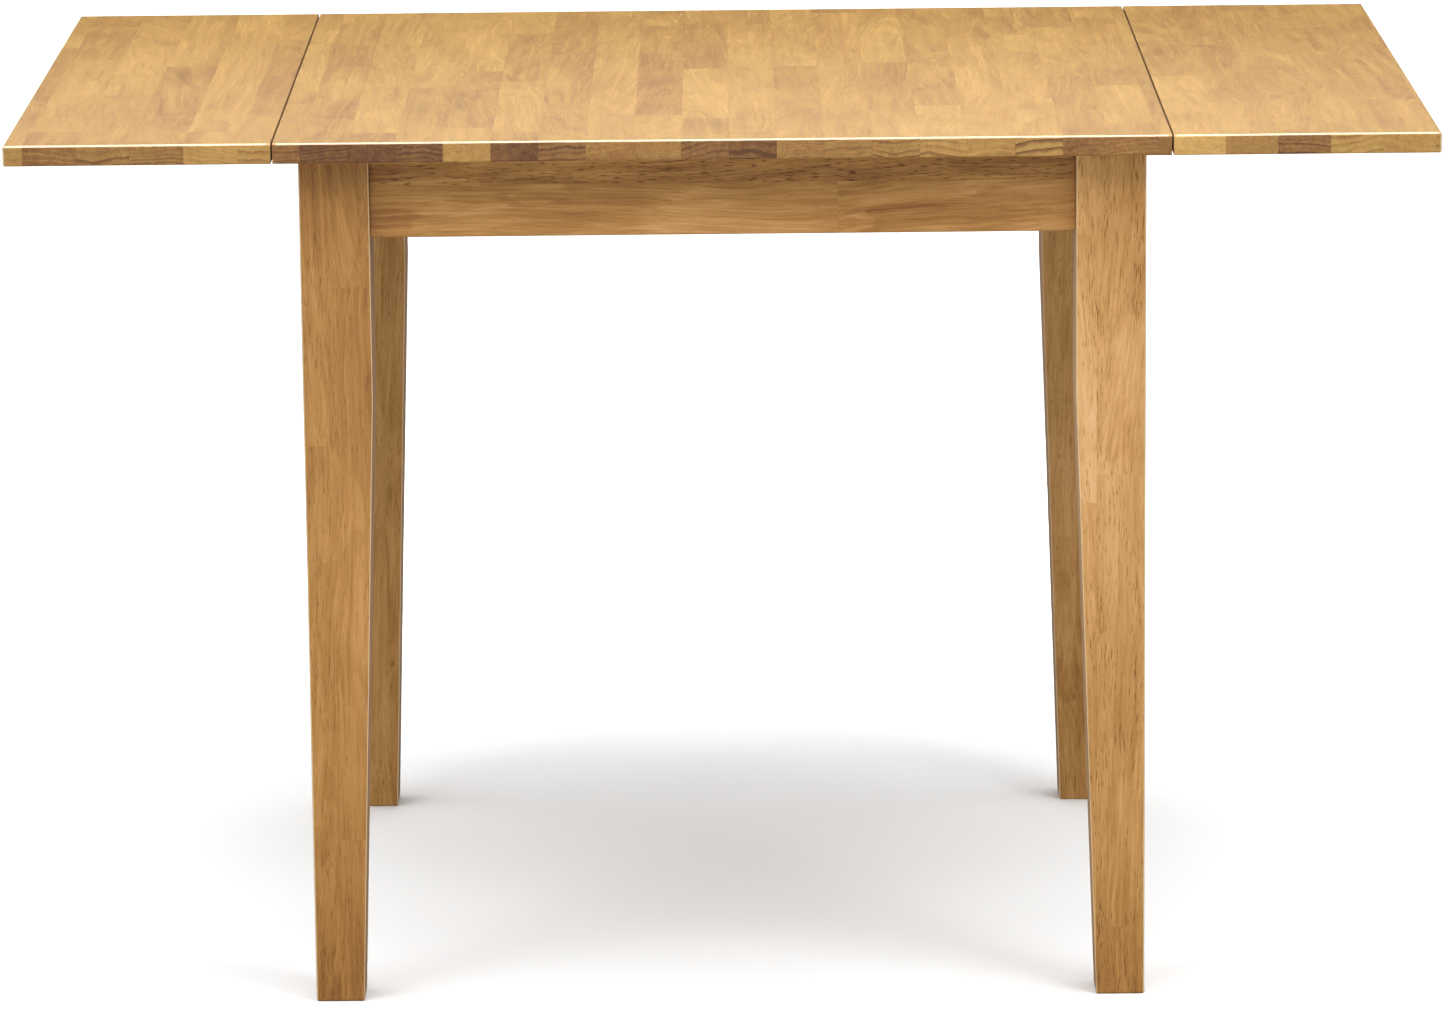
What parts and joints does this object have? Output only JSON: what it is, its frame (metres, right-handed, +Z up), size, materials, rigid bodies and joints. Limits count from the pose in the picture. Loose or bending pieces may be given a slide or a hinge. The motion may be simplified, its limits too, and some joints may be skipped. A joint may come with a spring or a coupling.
{
  "type": "drop leaf table",
  "caption": "Square wooden table on tapered legs, with a hinged leaf at each end that folds down against the frame and folding steel stays that hold the leaves level.",
  "frame": {"origin": "on the floor under the middle of the table, leaves up", "axes": "+X along the table's length, towards the right leaf; +Y towards its back; +Z up"},
  "size_m": [1.2192, 0.762, 0.762],
  "materials": {
    "panel_wood": "satin lacquer",
    "leg_wood": "satin lacquer",
    "apron_wood": "satin lacquer",
    "block_wood": "bare planed wood",
    "hinge_steel": "zinc plated",
    "stay_steel": "zinc plated",
    "bolt_steel": "zinc plated"
  },
  "bodies": {
    "frame": {"centre_panel": "panel_wood", "apron_back": "apron_wood", "apron_front": "apron_wood", "apron_left": "apron_wood", "apron_right": "apron_wood", "leg_back_left": "leg_wood", "leg_back_right": "leg_wood", "leg_front_left": "leg_wood", "leg_front_right": "leg_wood", "corner_block_back_left": "block_wood", "corner_block_back_right": "block_wood", "corner_block_front_left": "block_wood", "corner_block_front_right": "block_wood", "hanger_bolt_back_left": "bolt_steel", "hanger_bolt_back_right": "bolt_steel", "hanger_bolt_front_left": "bolt_steel", "hanger_bolt_front_right": "bolt_steel", "wing_nut_back_left": "bolt_steel", "wing_nut_back_right": "bolt_steel", "wing_nut_front_left": "bolt_steel", "wing_nut_front_right": "bolt_steel", "hinge_right_1_fixed_plate": "hinge_steel", "hinge_right_1_pin": "hinge_steel", "hinge_right_2_fixed_plate": "hinge_steel", "hinge_right_2_pin": "hinge_steel", "hinge_right_3_fixed_plate": "hinge_steel", "hinge_right_3_pin": "hinge_steel", "stay_right_1_apron_plate": "stay_steel", "stay_right_2_apron_plate": "stay_steel", "hinge_left_1_fixed_plate": "hinge_steel", "hinge_left_1_pin": "hinge_steel", "hinge_left_2_fixed_plate": "hinge_steel", "hinge_left_2_pin": "hinge_steel", "hinge_left_3_fixed_plate": "hinge_steel", "hinge_left_3_pin": "hinge_steel", "stay_left_1_apron_plate": "stay_steel", "stay_left_2_apron_plate": "stay_steel"},
    "leaf_right": {"leaf_right": "panel_wood", "hinge_right_1_leaf_plate": "hinge_steel", "hinge_right_2_leaf_plate": "hinge_steel", "hinge_right_3_leaf_plate": "hinge_steel", "stay_right_1_leaf_plate": "stay_steel", "stay_right_2_leaf_plate": "stay_steel"},
    "stay_right_1_long_arm": {"stay_right_1_long_arm": "stay_steel"},
    "stay_right_1_short_arm": {"stay_right_1_short_arm": "stay_steel"},
    "stay_right_2_long_arm": {"stay_right_2_long_arm": "stay_steel"},
    "stay_right_2_short_arm": {"stay_right_2_short_arm": "stay_steel"},
    "leaf_left": {"leaf_left": "panel_wood", "hinge_left_1_leaf_plate": "hinge_steel", "hinge_left_2_leaf_plate": "hinge_steel", "hinge_left_3_leaf_plate": "hinge_steel", "stay_left_1_leaf_plate": "stay_steel", "stay_left_2_leaf_plate": "stay_steel"},
    "stay_left_1_long_arm": {"stay_left_1_long_arm": "stay_steel"},
    "stay_left_1_short_arm": {"stay_left_1_short_arm": "stay_steel"},
    "stay_left_2_long_arm": {"stay_left_2_long_arm": "stay_steel"},
    "stay_left_2_short_arm": {"stay_left_2_short_arm": "stay_steel"}
  },
  "joints": [
    {"name": "leaf_right_fold", "type": "hinge", "parent": "frame", "child": "leaf_right", "pos_m": [0.38175, 0, 0.739], "axis": [0, 1, 0], "range_deg": [0, 90]},
    {"name": "stay_right_1_long_arm_swing", "type": "hinge", "parent": "frame", "child": "stay_right_1_long_arm", "pos_m": [0.36475, -0.11, 0.714], "axis": [0, 1, 0], "range_deg": [0, 98]},
    {"name": "stay_right_1_short_arm_swing", "type": "hinge", "parent": "leaf_right", "child": "stay_right_1_short_arm", "pos_m": [0.47675, -0.11, 0.735], "axis": [0, 1, 0], "range_deg": [-110, 0]},
    {"name": "stay_right_2_long_arm_swing", "type": "hinge", "parent": "frame", "child": "stay_right_2_long_arm", "pos_m": [0.36475, 0.11, 0.714], "axis": [0, 1, 0], "range_deg": [0, 98]},
    {"name": "stay_right_2_short_arm_swing", "type": "hinge", "parent": "leaf_right", "child": "stay_right_2_short_arm", "pos_m": [0.47675, 0.11, 0.735], "axis": [0, 1, 0], "range_deg": [-110, 0]},
    {"name": "leaf_left_fold", "type": "hinge", "parent": "frame", "child": "leaf_left", "pos_m": [-0.38175, 0, 0.739], "axis": [0, -1, 0], "range_deg": [0, 90]},
    {"name": "stay_left_1_long_arm_swing", "type": "hinge", "parent": "frame", "child": "stay_left_1_long_arm", "pos_m": [-0.36475, 0.11, 0.714], "axis": [0, -1, 0], "range_deg": [0, 98]},
    {"name": "stay_left_1_short_arm_swing", "type": "hinge", "parent": "leaf_left", "child": "stay_left_1_short_arm", "pos_m": [-0.47675, 0.11, 0.735], "axis": [0, -1, 0], "range_deg": [-110, 0]},
    {"name": "stay_left_2_long_arm_swing", "type": "hinge", "parent": "frame", "child": "stay_left_2_long_arm", "pos_m": [-0.36475, -0.11, 0.714], "axis": [0, -1, 0], "range_deg": [0, 98]},
    {"name": "stay_left_2_short_arm_swing", "type": "hinge", "parent": "leaf_left", "child": "stay_left_2_short_arm", "pos_m": [-0.47675, -0.11, 0.735], "axis": [0, -1, 0], "range_deg": [-110, 0]}
  ],
  "couplings": [
    {"joint": "stay_right_1_long_arm_swing", "follows": "leaf_right_fold", "ratio": 1.0806},
    {"joint": "stay_right_1_short_arm_swing", "follows": "leaf_right_fold", "ratio": -1.2134},
    {"joint": "stay_right_2_long_arm_swing", "follows": "leaf_right_fold", "ratio": 1.0806},
    {"joint": "stay_right_2_short_arm_swing", "follows": "leaf_right_fold", "ratio": -1.2134},
    {"joint": "stay_left_1_long_arm_swing", "follows": "leaf_left_fold", "ratio": 1.0806},
    {"joint": "stay_left_1_short_arm_swing", "follows": "leaf_left_fold", "ratio": -1.2134},
    {"joint": "stay_left_2_long_arm_swing", "follows": "leaf_left_fold", "ratio": 1.0806},
    {"joint": "stay_left_2_short_arm_swing", "follows": "leaf_left_fold", "ratio": -1.2134}
  ]
}
